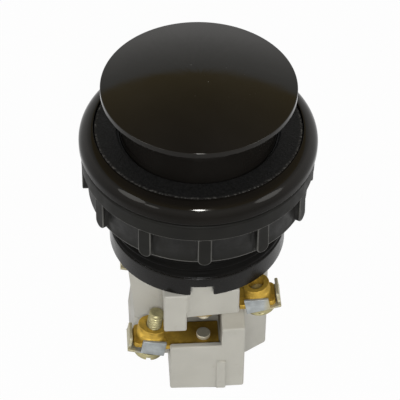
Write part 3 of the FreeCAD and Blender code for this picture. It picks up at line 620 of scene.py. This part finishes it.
def product(tree, first, second):
    """Two values multiplied."""
    times = tree.nodes.new("ShaderNodeMath")
    times.operation = "MULTIPLY"
    tree.links.new(first, times.inputs[0])
    tree.links.new(second, times.inputs[1])
    return times.outputs["Value"]


def relief(tree, shader, height, depth):
    """Fine relief of the given depth in metres."""
    bump = tree.nodes.new("ShaderNodeBump")
    bump.inputs["Distance"].default_value = depth
    bump.inputs["Strength"].default_value = 1
    tree.links.new(height, bump.inputs["Height"])
    tree.links.new(bump.outputs["Normal"], shader.inputs["Normal"])


def near_point(tree, centre, reach):
    """1 at a point of the piece, down to 0 at the given reach."""
    place = tree.nodes.new("ShaderNodeTexCoord")
    away = tree.nodes.new("ShaderNodeVectorMath")
    away.operation = "DISTANCE"
    away.inputs[1].default_value = centre
    tree.links.new(place.outputs["Object"], away.inputs[0])
    return between(tree, away.outputs["Value"], start=0, end=reach, low=1, high=0)


def from_axis(tree):
    """Distance from the button's axis."""
    place = tree.nodes.new("ShaderNodeTexCoord")
    flat = tree.nodes.new("ShaderNodeVectorMath")
    flat.operation = "MULTIPLY"
    flat.inputs[1].default_value = (1, 1, 0)
    away = tree.nodes.new("ShaderNodeVectorMath")
    away.operation = "LENGTH"
    tree.links.new(place.outputs["Object"], flat.inputs[0])
    tree.links.new(flat.outputs["Vector"], away.inputs[0])
    return away.outputs["Value"]


def part_along(tree, vector, axis):
    """One part of a vector."""
    parts = tree.nodes.new("ShaderNodeSeparateXYZ")
    tree.links.new(vector, parts.inputs["Vector"])
    return parts.outputs[axis]


def place_along(tree, axis):
    """Place of a point of the piece along one axis."""
    place = tree.nodes.new("ShaderNodeTexCoord")
    return part_along(tree, place.outputs["Object"], axis)


def sideways(tree):
    """Distance to the left or right of the button's middle."""
    size = tree.nodes.new("ShaderNodeMath")
    size.operation = "ABSOLUTE"
    tree.links.new(place_along(tree, "X"), size.inputs[0])
    return size.outputs["Value"]


def facing_up(tree):
    """1 on a level face, 0 on an upright one."""
    surface = tree.nodes.new("ShaderNodeNewGeometry")
    return part_along(tree, surface.outputs["Normal"], "Z")


def polished_black(name, base, dust_and_highlight, specular):
    """Black plastic polished on top, with faint flow marks; a few specks lie near one spot."""
    material, tree, shader = new_finish(name, base, roughness=0.1)
    upward = facing_up(tree)
    duller = specular * SIDE_GLOSS
    polish = between(tree, upward, start=0.25, end=0.75, low=duller, high=specular)
    tree.links.new(polish, shader.inputs["Specular IOR Level"])
    shader.inputs["Specular Tint"].default_value = WARM_GLOSS
    flow = mottled(tree, base, size=0.012, detail=3, dark=0.8, light=1.25)
    specks = patches(tree, size=0.0006, detail=1, start=0.75, end=0.8, low=0, high=0.7)
    few = product(tree, specks, near_point(tree, DUSTY_SPOT, DUSTY_REACH))
    tree.links.new(over(tree, few, flow, dust_and_highlight), shader.inputs["Base Color"])
    handled = patches(tree, size=0.006, detail=4, start=0.35, end=0.7, low=0.05, high=0.12)
    tree.links.new(handled, shader.inputs["Roughness"])
    relief(tree, shader, grain(tree, size=0.003, detail=1), depth=0.000002)
    return material


def grained_black(name, base, dust_and_highlight, edge):
    """Eroded fine grain of the face ring, with a pale line along its outer edge that is partly
    dust and partly a painted highlight.
    """
    material, tree, shader = new_finish(name, base, roughness=0.6, specular=0.2)
    tone = mottled(tree, base, size=0.0003, detail=2, dark=0.5, light=2.2)
    inner, outer = (edge - inset for inset in DUST_AND_HIGHLIGHT_RIM)
    # Pale line along the outer edge: partly dust, partly a painted highlight of the bezel's inner
    # edge.
    rim = between(tree, from_axis(tree), start=inner, end=outer, low=0, high=1)
    dust_and_highlight_patches = patches(tree, size=0.0005, detail=3, start=0.48, end=0.68, low=0.03, high=0.4)
    dust_and_highlight_line = product(tree, rim, dust_and_highlight_patches)
    tree.links.new(over(tree, dust_and_highlight_line, tone, dust_and_highlight), shader.inputs["Base Color"])
    relief(tree, shader, grain(tree, size=0.00028, detail=2), depth=0.00008)
    return material


def satin_black(name, base, roughness, wear, specular):
    """Moulded black plastic with a soft sheen and paler rubbed patches."""
    material, tree, shader = new_finish(name, base, roughness, specular=specular)
    tone = mottled(tree, base, size=0.004, detail=5, dark=0.75, light=wear)
    tree.links.new(tone, shader.inputs["Base Color"])
    low, high = roughness - 0.07, roughness + 0.1
    rubbed = patches(tree, size=0.002, detail=4, start=0.3, end=0.7, low=low, high=high)
    tree.links.new(rubbed, shader.inputs["Roughness"])
    relief(tree, shader, grain(tree, size=0.0003, detail=3), depth=0.000006)
    return material


def rubber_black(name, base):
    """Dull rubber with a faint bloom."""
    material, tree, shader = new_finish(name, base, roughness=0.8, specular=0.3)
    tone = mottled(tree, base, size=0.001, detail=4, dark=0.7, light=1.5)
    tree.links.new(tone, shader.inputs["Base Color"])
    relief(tree, shader, grain(tree, size=0.0002, detail=3), depth=0.00001)
    return material


def with_contact_shade(tree, clean, contact_shade, centres, reach):
    """Colour darkened around the points where the contacts switch, as painted shade under the
    arm.
    """
    for centre in centres:
        near = near_point(tree, centre, reach)
        share = between(tree, near, start=0, end=0.5, low=0, high=0.85)
        clean = over(tree, share, clean, contact_shade)
    return clean


def moulded_plastic(name, base, roughness, soil_and_shade, contact_shade=None):
    """Moulded plastic with slight flow shading, handling marks, and painted shade on its lower
    up-facing ledges.

    The painted contact shade, if any, is its colour, its centres and its reach.
    """
    material, tree, shader = new_finish(name, base, roughness, specular=0.4)
    clean = mottled(tree, base, size=0.007, detail=4, dark=0.93, light=1.05)
    marks = patches(tree, size=0.0016, detail=5, start=0.62, end=0.78, low=0, high=0.22)
    # Painted shade: low up-facing ledges darkened where the parts above shade them.
    ledge_shade = between(tree, facing_up(tree), start=0.3, end=0.9, low=0, high=0.35)
    height = place_along(tree, "Z")
    lower = between(tree, height, start=LEDGE_SHADE_LEVEL - LEDGE_SHADE_FADE, end=LEDGE_SHADE_LEVEL, low=1, high=0)
    with_shade = over(tree, product(tree, ledge_shade, lower), clean, soil_and_shade)
    # Painted shade under the arm, around the lower contacts.
    if contact_shade:
        with_shade = with_contact_shade(tree, with_shade, *contact_shade)
    tree.links.new(over(tree, marks, with_shade, soil_and_shade), shader.inputs["Base Color"])
    low, high = roughness - 0.08, roughness + 0.1
    sheen = patches(tree, size=0.003, detail=3, start=0.3, end=0.7, low=low, high=high)
    tree.links.new(sheen, shader.inputs["Roughness"])
    relief(tree, shader, grain(tree, size=0.0005, detail=3), depth=0.000008)
    return material


def burnt_silver(name, base):
    """Silver tips with bright sides and dull, burnt faces."""
    material, tree, shader = new_finish(name, base, roughness=0.4, metal=0.4, specular=0.25)
    cloud = mottled(tree, base, size=0.0008, detail=4, dark=0.8, light=1.15)
    burnt = between(tree, facing_up(tree), start=0.6, end=0.95, low=0, high=0.85)
    tone = over(tree, burnt, cloud, shaded(base, BURNT))
    tree.links.new(tone, shader.inputs["Base Color"])
    relief(tree, shader, grain(tree, size=0.0003, detail=3), depth=0.00002)
    return material


def rolled_metal(name, base, roughness, stain, stretch, metal=1.0, tarnish=None, contact_shade=None):
    """Rolled or plated metal with drawn lines, a cloudy colour and stains.

    Tarnish, if any, is its colour and how far out to the sides it starts. The painted contact
    shade, if any, is its colour, its centres and its reach.
    """
    material, tree, shader = new_finish(name, base, roughness, metal=metal, specular=0.25)
    cloud = mottled(tree, base, size=0.0015, detail=4, dark=0.7, light=1.15)
    if tarnish:
        shade, start = tarnish
        end = start + TARNISH_FADE
        outer = between(tree, sideways(tree), start, end, low=0, high=0.9)
        cloud = over(tree, outer, cloud, shade)
    # Painted shade under the arm, around the lower contacts.
    if contact_shade:
        cloud = with_contact_shade(tree, cloud, *contact_shade)
    spots = patches(tree, size=0.0008, detail=5, start=0.52, end=0.75, low=0, high=0.7)
    tone = over(tree, spots, cloud, shaded(base, stain))
    tree.links.new(tone, shader.inputs["Base Color"])
    drawn = grain(tree, size=0.0004, detail=4, stretch=stretch)
    low, high = roughness - 0.1, roughness + 0.14
    lines = between(tree, drawn, start=0.3, end=0.7, low=low, high=high)
    tree.links.new(lines, shader.inputs["Roughness"])
    relief(tree, shader, drawn, depth=0.000012)
    return material


def seen_by_camera(tree):
    """1 for camera, glossy and transmission rays."""
    path = tree.nodes.new("ShaderNodeLightPath")
    seen = path.outputs["Is Camera Ray"]
    for name in ("Is Glossy Ray", "Is Transmission Ray"):
        higher = tree.nodes.new("ShaderNodeMath")
        higher.operation = "MAXIMUM"
        tree.links.new(seen, higher.inputs[0])
        tree.links.new(path.outputs[name], higher.inputs[1])
        seen = higher.outputs["Value"]
    return seen


def show_instead(tree, share, plain, shown, output):
    """Output of the plain shader, with the shown one in its place by a share."""
    mix = tree.nodes.new("ShaderNodeMixShader")
    tree.links.new(share, mix.inputs["Fac"])
    tree.links.new(plain, mix.inputs[1])
    tree.links.new(shown, mix.inputs[2])
    tree.links.new(mix.outputs["Shader"], tree.nodes[output].inputs["Surface"])


def pale_floor(base):
    """Large floor under the block; the shown white still takes the button's shadow."""
    mesh = bmesh.new()
    bmesh.ops.create_circle(mesh, cap_ends=True, segments=FLOOR_SIDES, radius=FLOOR_RADIUS)
    floor = piece_of("floor", mesh)
    floor.location.z = CAD_BOX[0][2]
    material, tree, shader = new_finish("floor_pale", base, roughness=0.9, specular=0.1)
    tone = mottled(tree, base, size=0.05, detail=2, dark=0.985, light=1.01)
    tree.links.new(tone, shader.inputs["Base Color"])
    white = tree.nodes.new("ShaderNodeEmission").outputs["Emission"]
    share = between(tree, seen_by_camera(tree), start=0, end=1, low=0, high=FLOOR_WHITE)
    show_instead(tree, share, shader.outputs["BSDF"], white, "Material Output")
    finish(floor, material)


def bright_room(scene):
    """White surround that turns to a dim brown ceiling in reflections, and even soft light."""
    world = bpy.data.worlds.new("room")
    scene.world = world
    world.use_nodes = True
    tree = world.node_tree
    place = tree.nodes.new("ShaderNodeTexCoord")
    height = part_along(tree, place.outputs["Generated"], "Z")
    soft = tree.nodes["Background"]
    soft.inputs["Strength"].default_value = ROOM_LIGHT
    light = shades(tree, height, ((0.5, ROOM_SIDES), (1, ROOM_TOP)))
    tree.links.new(light, soft.inputs["Color"])
    shown = tree.nodes.new("ShaderNodeBackground")
    tree.links.new(shades(tree, height, ROOM_SHOWN), shown.inputs["Color"])
    seen = seen_by_camera(tree)
    backgrounds = soft.outputs["Background"], shown.outputs["Background"]
    show_instead(tree, seen, *backgrounds, "World Output")


def looking_at(target, azimuth, elevation):
    """Frame at a target, with its Z towards the given direction."""
    turn = Euler((math.pi / 2 - elevation, 0, azimuth)).to_matrix().to_4x4()
    return Matrix.Translation(target) @ turn


def lamp(name, target, azimuth, elevation, size, power):
    """Soft round lamp that faces the button; its direction is in degrees."""
    data = bpy.data.lights.new(name, "AREA")
    data.shape = "DISK"
    data.size = size
    data.energy = power
    data.color = LAMP_COLOUR
    holder = new_piece(name, data)
    aim = looking_at(target, math.radians(azimuth), math.radians(elevation))
    holder.matrix_world = aim @ Matrix.Translation((0, 0, LAMP_DISTANCE))


class PUSHBUTTON_OT_cap(Operator):
    """Polished black mushroom cap"""

    bl_idname = "push_button.cap"
    bl_label = "Mushroom Cap"

    def execute(self, context):
        colours = context.scene.button_colours
        cap = soften(NODES["mushroom_cap"], context.scene.button_details.black_edge)
        finish(cap, polished_black("cap_polish", colours.cap, colours.dust_and_highlight, specular=0.4))
        return {"FINISHED"}


class PUSHBUTTON_OT_bezel(Operator):
    """Polished bezel ring with its rubber gasket"""

    bl_idname = "push_button.bezel"
    bl_label = "Bezel and Gasket"

    def execute(self, context):
        colours = context.scene.button_colours
        bezel = soften(NODES["bezel_ring"], context.scene.button_details.black_edge)
        finish(bezel, polished_black("bezel_polish", colours.bezel, colours.dust_and_highlight, specular=0.22))
        rubber = rubber_black("gasket_rubber", colours.rubber)
        for name in ("panel_gasket", "wiper_seal"):
            finish(smooth(NODES[name]), rubber)
            NODES[name].data.set_sharp_from_angle(angle=SHARP)
        return {"FINISHED"}


class PUSHBUTTON_OT_sleeve(Operator):
    """Sleeve with its grained face ring, cut thread and collar"""

    bl_idname = "push_button.sleeve"
    bl_label = "Threaded Sleeve"

    def execute(self, context):
        colours = context.scene.button_colours
        sizes = context.scene.button_details
        low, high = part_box("body_sleeve")
        points = [vert.co for vert in NODES["body_sleeve"].data.vertices]
        radius = max(point.xy.length for point in points if point.z < low.z + WELD)
        edge = max(point.xy.length for point in points)
        on_radius = [point.z for point in points if abs(point.xy.length - radius) < WELD]
        bottom, top = sorted({round(level, 6) for level in on_radius})[-2:]

        def on_wall(point):
            return abs(point.xy.length - radius) < WELD and point.z > bottom - WELD

        satin = satin_black(
            "sleeve_satin", colours.sleeve, roughness=0.24, wear=1.5, specular=0.14
        )
        # Darker, duller copy of the sleeve's finish: painted shade under the nut.
        shaded_thread = satin_black("thread_painted_shade", colours.thread, roughness=0.55, wear=1.5, specular=0.04)
        grained = grained_black("face_ring_grain", colours.face, colours.dust_and_highlight, edge)
        sleeve = finish(without_wall("sleeve_and_collar", "body_sleeve", on_wall), satin)
        sleeve.data.materials.append(grained)
        for face in sleeve.data.polygons:
            if face.center.z > high.z - WELD:
                face.material_index = 1
        soften(sleeve, sizes.collar_edge)
        cut = (sizes.sleeve_pitch, sizes.sleeve_depth, SLEEVE_COLUMNS)
        wall = (Matrix(), radius, bottom, top, *cut)
        thread = finish(thread_piece("sleeve_thread", [wall]), shaded_thread)
        for piece in (sleeve, thread):
            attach(piece, "housing")
        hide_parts("body_sleeve")
        return {"FINISHED"}


class PUSHBUTTON_OT_nut(Operator):
    """Matt black ring nut with a painted highlight on its rounded edges"""

    bl_idname = "push_button.nut"
    bl_label = "Ring Nut"

    def execute(self, context):
        colours = context.scene.button_colours
        edge = context.scene.button_details.nut_edge
        # The rounded edges take the paler finish as a painted highlight.
        nut = rounded_copy("ribbed_nut", "ring_nut", edge, finish_index=1)
        matt = satin_black("nut_matt", colours.nut, roughness=0.5, wear=1.3, specular=0.12)
        edge_highlight = satin_black("nut_edge_highlight", colours.edge_highlight, roughness=0.45, wear=2.2, specular=0.2)
        nut.data.materials.append(matt)
        nut.data.materials.append(edge_highlight)
        low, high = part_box("ring_nut")
        for face in nut.data.polygons:
            if face.center.z > high.z * (1 - NUT_BAND) + low.z * NUT_BAND:
                face.material_index = 0
        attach(nut, "nut")
        return {"FINISHED"}


class PUSHBUTTON_OT_block(Operator):
    """Two halves of the off-white contact block"""

    bl_idname = "push_button.block"
    bl_label = "Contact Block"

    def execute(self, context):
        colours = context.scene.button_colours
        edge = context.scene.button_details.moulded_edge
        white = moulded_plastic(
            "block_white",
            colours.housing,
            roughness=0.45,
            soil_and_shade=colours.soil_and_shade,
            # Painted shade under the arm, around the lower contacts.
            contact_shade=(colours.block_contact_shade, switching_points(), BLOCK_CONTACT_SHADE_REACH),
        )
        for name, reshape in (("upper", None), ("lower", flush_edge())):
            half = rounded_copy(
                f"{name}_block_half",
                f"{name}_housing",
                edge,
                shortest=SHORTEST_MOULDED_EDGE,
                reshape=reshape,
            )
            finish(half, white)
            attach(half, "housing")
        return {"FINISHED"}


class PUSHBUTTON_OT_contacts(Operator):
    """Brass strips, moving bridge and silver tips"""

    bl_idname = "push_button.contacts"
    bl_label = "Contacts"

    def execute(self, context):
        colours = context.scene.button_colours
        edge = context.scene.button_details.metal_edge
        brass = rolled_metal(
            "strip_brass",
            colours.brass,
            roughness=0.42,
            stain=0.45,
            stretch=ALONG_X,
            metal=0.5,
            # Painted shade under the arm, around the lower contacts.
            contact_shade=(colours.brass_contact_shade, switching_points(), BRASS_CONTACT_SHADE_REACH),
        )
        silver = burnt_silver("tip_silver", colours.silver)
        finish(soften(NODES["contact_bridge"], edge), brass)
        for end in ENDS:
            collar = drawn_collar(end)
            strip = rounded_copy(
                f"collared_strip_{end}", f"contact_strip_{end}", edge, reshape=collar
            )
            finish(strip, brass)
            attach(strip, "housing")
        for name in ("fixed_contact_tips", "bridge_contact_tips"):
            finish(soften(NODES[name], edge), silver)
        return {"FINISHED"}


class PUSHBUTTON_OT_clamps(Operator):
    """Plated clamp plates of the terminals"""

    bl_idname = "push_button.clamps"
    bl_label = "Clamp Plates"

    def execute(self, context):
        colours = context.scene.button_colours
        edge = context.scene.button_details.metal_edge
        innermost = min(abs(terminal_axis(end).translation.x) for end in ENDS)
        zinc = rolled_metal(
            "clamp_zinc",
            colours.zinc,
            roughness=0.42,
            stain=0.8,
            stretch=ALONG_Y,
            metal=0.4,
            tarnish=(colours.chromate, innermost + TARNISH_START),
        )
        for end in ENDS:
            taper = tapered_end(end)
            plate = rounded_copy(
                f"tapered_clamp_{end}", f"clamp_plate_{end}", edge, reshape=taper
            )
            finish(plate, zinc)
            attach(plate, "housing")
        return {"FINISHED"}


class PUSHBUTTON_OT_screws(Operator):
    """Terminal screws with cut threads, and the screws of the block"""

    bl_idname = "push_button.screws"
    bl_label = "Screws"

    def execute(self, context):
        base = context.scene.button_colours.passivated
        sizes = context.scene.button_details
        plate = rolled_metal(
            "screw_passivated", base, roughness=0.44, stain=0.55, stretch=EVEN, metal=0.6
        )
        finish(soften(NODES["block_screws"], sizes.metal_edge), plate)
        cut = (sizes.screw_pitch, sizes.screw_depth, SCREW_COLUMNS)
        threads = []
        shanks = []
        for points in loose_parts("terminal_screws"):
            place = screw_place(points)
            inverse = place.inverted()
            wall = shank_wall([inverse @ point for point in points])
            threads.append((place, *wall, *cut))
            shanks.append((inverse, *wall))

        def on_wall(point):
            for inverse, radius, low, high in shanks:
                own = inverse @ point
                on_side = abs(own.xy.length - radius) < ON_SHANK
                if on_side and low - WELD < own.z < high + WELD:
                    return True
            return False

        heads = finish(without_wall("terminal_screw_heads", "terminal_screws", on_wall), plate)
        soften(heads, sizes.metal_edge)
        thread = finish(thread_piece("terminal_screw_threads", threads), plate)
        for piece in (heads, thread):
            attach(piece, "housing")
        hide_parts("terminal_screws")
        return {"FINISHED"}


class PUSHBUTTON_OT_springs(Operator):
    """Three round-wire springs in place of the CAD springs"""

    bl_idname = "push_button.springs"
    bl_label = "Springs"

    def execute(self, context):
        base = context.scene.button_colours.steel
        sizes = context.scene.button_details
        steel = rolled_metal("spring_wire", base, roughness=0.3, stain=0.5, stretch=EVEN)
        springs = (
            ("head_spring", sizes.head_turns, "housing", "push"),
            ("carrier_spring", sizes.carrier_turns, "housing", "push"),
            ("contact_spring", sizes.contact_turns, "plunger", "bridge_lift"),
        )
        for node, turns, body, joint in springs:
            low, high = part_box(node)
            spring = finish(round_wire(f"{node}_wire", node, turns), steel)
            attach(spring, body)
            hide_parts(node)
            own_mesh(spring)
        return {"FINISHED"}


class PUSHBUTTON_OT_inside(Operator):
    """Stem, clip and contact carrier"""

    bl_idname = "push_button.inside"
    bl_label = "Inner Pieces"

    def execute(self, context):
        colours = context.scene.button_colours
        edge = context.scene.button_details.metal_edge
        dark_pieces = (
            ("push_stem", "stem_dark", colours.stem, 0.4),
            ("contact_carrier", "carrier_dark", colours.carrier, 0.45),
        )
        for node, name, base, roughness in dark_pieces:
            dark = moulded_plastic(name, base, roughness, soil_and_shade=shaded(base, HANDLED))
            finish(soften(NODES[node], edge), dark)
        clip = rolled_metal("clip_steel", colours.steel, roughness=0.3, stain=0.5, stretch=EVEN)
        finish(soften(NODES["stem_clip"], edge), clip)
        return {"FINISHED"}


class PUSHBUTTON_OT_stage(Operator):
    """Pale floor, soft light and the camera"""

    bl_idname = "push_button.stage"
    bl_label = "Stage"

    def execute(self, context):
        stage = context.scene.button_stage
        middle = Vector((0, 0, stage.middle))
        pale_floor(stage.floor)
        bright_room(context.scene)
        for name, settings in LAMPS.items():
            lamp(name, middle, **settings)
        camera = bpy.data.cameras.new("photo_camera")
        camera.lens = stage.lens
        camera.clip_start = NEAREST_SHOWN
        holder = new_piece("photo_camera", camera)
        aim = looking_at(middle, stage.azimuth, stage.elevation)
        step = Matrix.Translation((stage.aside, 0, stage.distance))
        holder.matrix_world = aim @ step @ Matrix.Rotation(stage.roll, 4, "Z")
        context.scene.camera = holder
        context.scene.view_settings.view_transform = "Standard"
        return {"FINISHED"}


OPERATORS = (
    PUSHBUTTON_OT_cap,
    PUSHBUTTON_OT_bezel,
    PUSHBUTTON_OT_sleeve,
    PUSHBUTTON_OT_nut,
    PUSHBUTTON_OT_block,
    PUSHBUTTON_OT_contacts,
    PUSHBUTTON_OT_clamps,
    PUSHBUTTON_OT_screws,
    PUSHBUTTON_OT_springs,
    PUSHBUTTON_OT_inside,
    PUSHBUTTON_OT_stage,
)
SETTINGS = {
    "button_colours": FinishColours,
    "button_details": DetailSizes,
    "button_stage": StageSizes,
}


class PUSHBUTTON_PT_pieces(Panel):
    """Pieces of the push button"""

    bl_idname = "PUSHBUTTON_PT_pieces"
    bl_label = "Push Button"
    bl_space_type = "VIEW_3D"
    bl_region_type = "UI"
    bl_category = "Push Button"

    def draw(self, context):
        for operator in OPERATORS:
            self.layout.operator(operator.bl_idname)
        for name, group in SETTINGS.items():
            box = self.layout.box()
            for item in group.__annotations__:
                box.prop(getattr(context.scene, name), item)


CLASSES = (*SETTINGS.values(), *OPERATORS, PUSHBUTTON_PT_pieces)


def register():
    for item in CLASSES:
        bpy.utils.register_class(item)
    for name, group in SETTINGS.items():
        setattr(bpy.types.Scene, name, PointerProperty(type=group))


def unregister():
    for name in SETTINGS:
        delattr(bpy.types.Scene, name)
    for item in reversed(CLASSES):
        bpy.utils.unregister_class(item)


def main():
    register()
    for operator in OPERATORS:
        group, name = operator.bl_idname.split(".")
        getattr(getattr(bpy.ops, group), name)()


if __name__ == "__main__":
    main()
